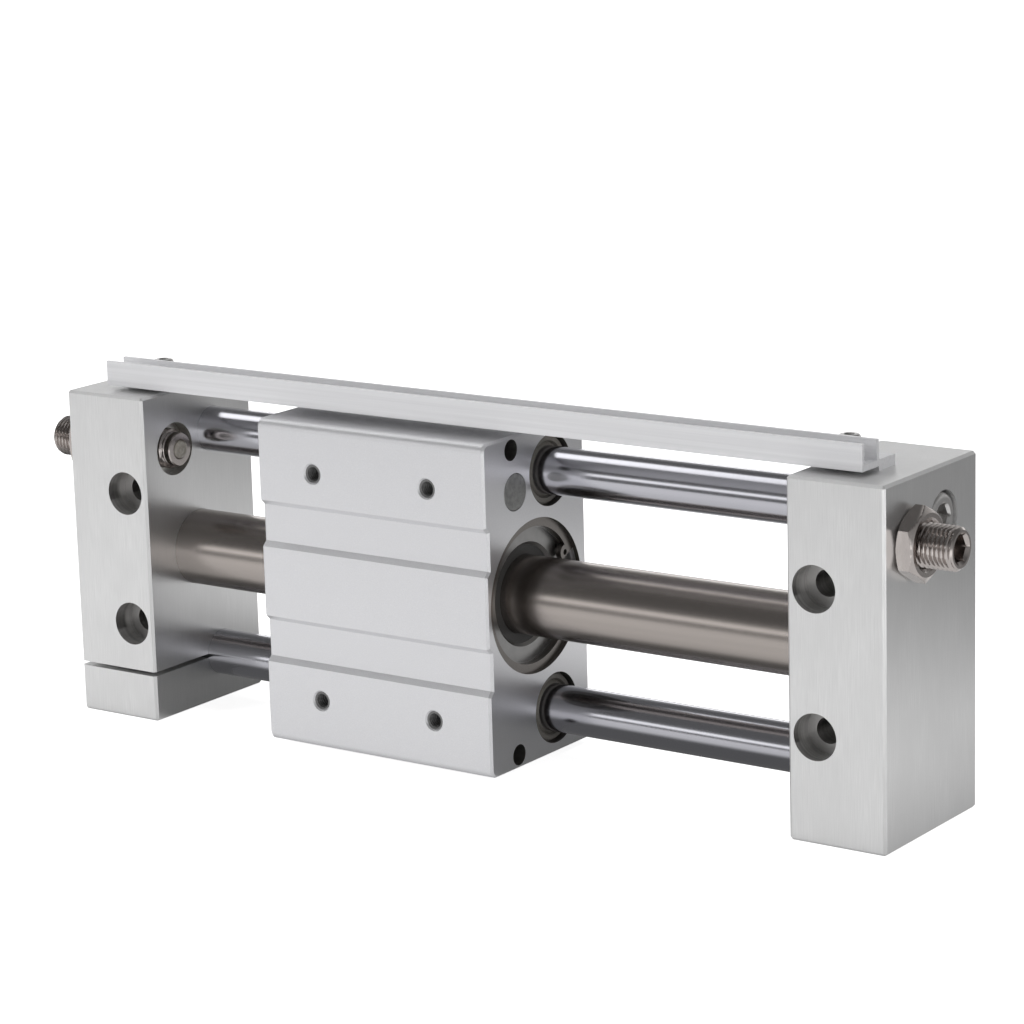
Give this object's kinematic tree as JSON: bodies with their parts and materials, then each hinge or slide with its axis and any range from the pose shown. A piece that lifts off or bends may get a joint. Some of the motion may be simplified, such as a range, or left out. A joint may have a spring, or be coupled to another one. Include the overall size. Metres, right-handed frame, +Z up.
{
  "type": "guided magnetic rodless cylinder",
  "caption": "Guided magnetic rodless cylinder: a carriage on guide rods follows the piston of a closed tube between end plates with adjustable stops.",
  "frame": {"origin": "on the floor under the middle of the bounding box, as the unit stands on its end plates", "axes": "+X along the tube to the right plate, +Y from the table face to the mounting face, +Z up"},
  "size_m": [0.358, 0.059, 0.125],
  "materials": {
    "plate_aluminium": "clear anodised, satin",
    "carriage_aluminium": "clear anodised, fine blasted grain",
    "rail_aluminium": "clear anodised extrusion",
    "rod_chrome": "ground and hard chromed",
    "tube_stainless": "drawn stainless tube, satin",
    "bolt_nickel": "bright nickel plated",
    "screw_steel": "nickel plated, satin",
    "ring_steel": "phosphated spring steel",
    "cover_aluminium": "turned, satin",
    "seal_rubber": "black rubber",
    "bumper_urethane": "cast urethane",
    "bush_bronze": "oil filled bronze",
    "wear_resin": "filled resin",
    "striker_steel": "hardened steel, ground face",
    "magnet_nickel": "nickel plated magnet",
    "yoke_iron": "plain soft iron"
  },
  "bodies": {
    "root": {"right_end_plate": "plate_aluminium", "left_end_plate": "plate_aluminium", "cylinder_tube": "tube_stainless", "upper_guide_rod": "rod_chrome", "lower_guide_rod": "rod_chrome", "tube_seals": "seal_rubber", "rod_seal": "seal_rubber", "rod_screws": "screw_steel", "clamp_screw": "screw_steel", "passage_plug": "screw_steel", "switch_rail": "rail_aluminium", "rail_screws": "screw_steel", "rail_washers": "screw_steel", "lock_nuts": "bolt_nickel"},
    "carriage": {"carriage_block": "carriage_aluminium", "guide_bushes": "bush_bronze", "rod_scrapers": "seal_rubber", "magnet_sleeve": "cover_aluminium", "outer_magnets": "magnet_nickel", "outer_yokes": "yoke_iron", "slider_covers": "cover_aluminium", "tube_scrapers": "seal_rubber", "slider_wear_rings": "wear_resin", "retaining_rings": "ring_steel", "striker_pads": "striker_steel", "switch_magnet": "magnet_nickel"},
    "piston": {"piston_shaft": "screw_steel", "pistons": "cover_aluminium", "piston_seals": "seal_rubber", "piston_wear_rings": "wear_resin", "inner_magnets": "magnet_nickel", "inner_yokes": "yoke_iron", "piston_nuts": "screw_steel", "piston_bumpers": "bumper_urethane"},
    "left_stop": {"left_bumper": "bumper_urethane"},
    "right_stop": {"right_bumper": "bumper_urethane"},
    "left_bolt": {"left_adjusting_bolt": "bolt_nickel"},
    "right_bolt": {"right_adjusting_bolt": "bolt_nickel"}
  },
  "joints": [
    {"name": "carriage_slide", "type": "slide", "parent": "root", "child": "carriage", "axis": [1, 0, 0], "range_m": [-0.0449, 0.1049]},
    {"name": "piston_slide", "type": "slide", "parent": "root", "child": "piston", "axis": [1, 0, 0], "range_m": [-0.0449, 0.1049]},
    {"name": "left_bolt_travel", "type": "slide", "parent": "root", "child": "left_stop", "axis": [1, 0, 0], "range_m": [-0.00325, 0.00325]},
    {"name": "left_bolt_turn", "type": "hinge", "parent": "left_stop", "child": "left_bolt", "pos_m": [-0.162, -0.01225, 0.0945], "axis": [1, 0, 0], "range_deg": [-780, 780]},
    {"name": "right_bolt_travel", "type": "slide", "parent": "root", "child": "right_stop", "axis": [-1, 0, 0], "range_m": [-0.00325, 0.00325]},
    {"name": "right_bolt_turn", "type": "hinge", "parent": "right_stop", "child": "right_bolt", "pos_m": [0.162, -0.01225, 0.0945], "axis": [-1, 0, 0], "range_deg": [-780, 780]}
  ],
  "couplings": [
    {"joint": "piston_slide", "follows": "carriage_slide", "ratio": 1},
    {"joint": "left_bolt_turn", "follows": "left_bolt_travel", "rad_per_m": 4188.8},
    {"joint": "right_bolt_turn", "follows": "right_bolt_travel", "rad_per_m": 4188.8}
  ]
}
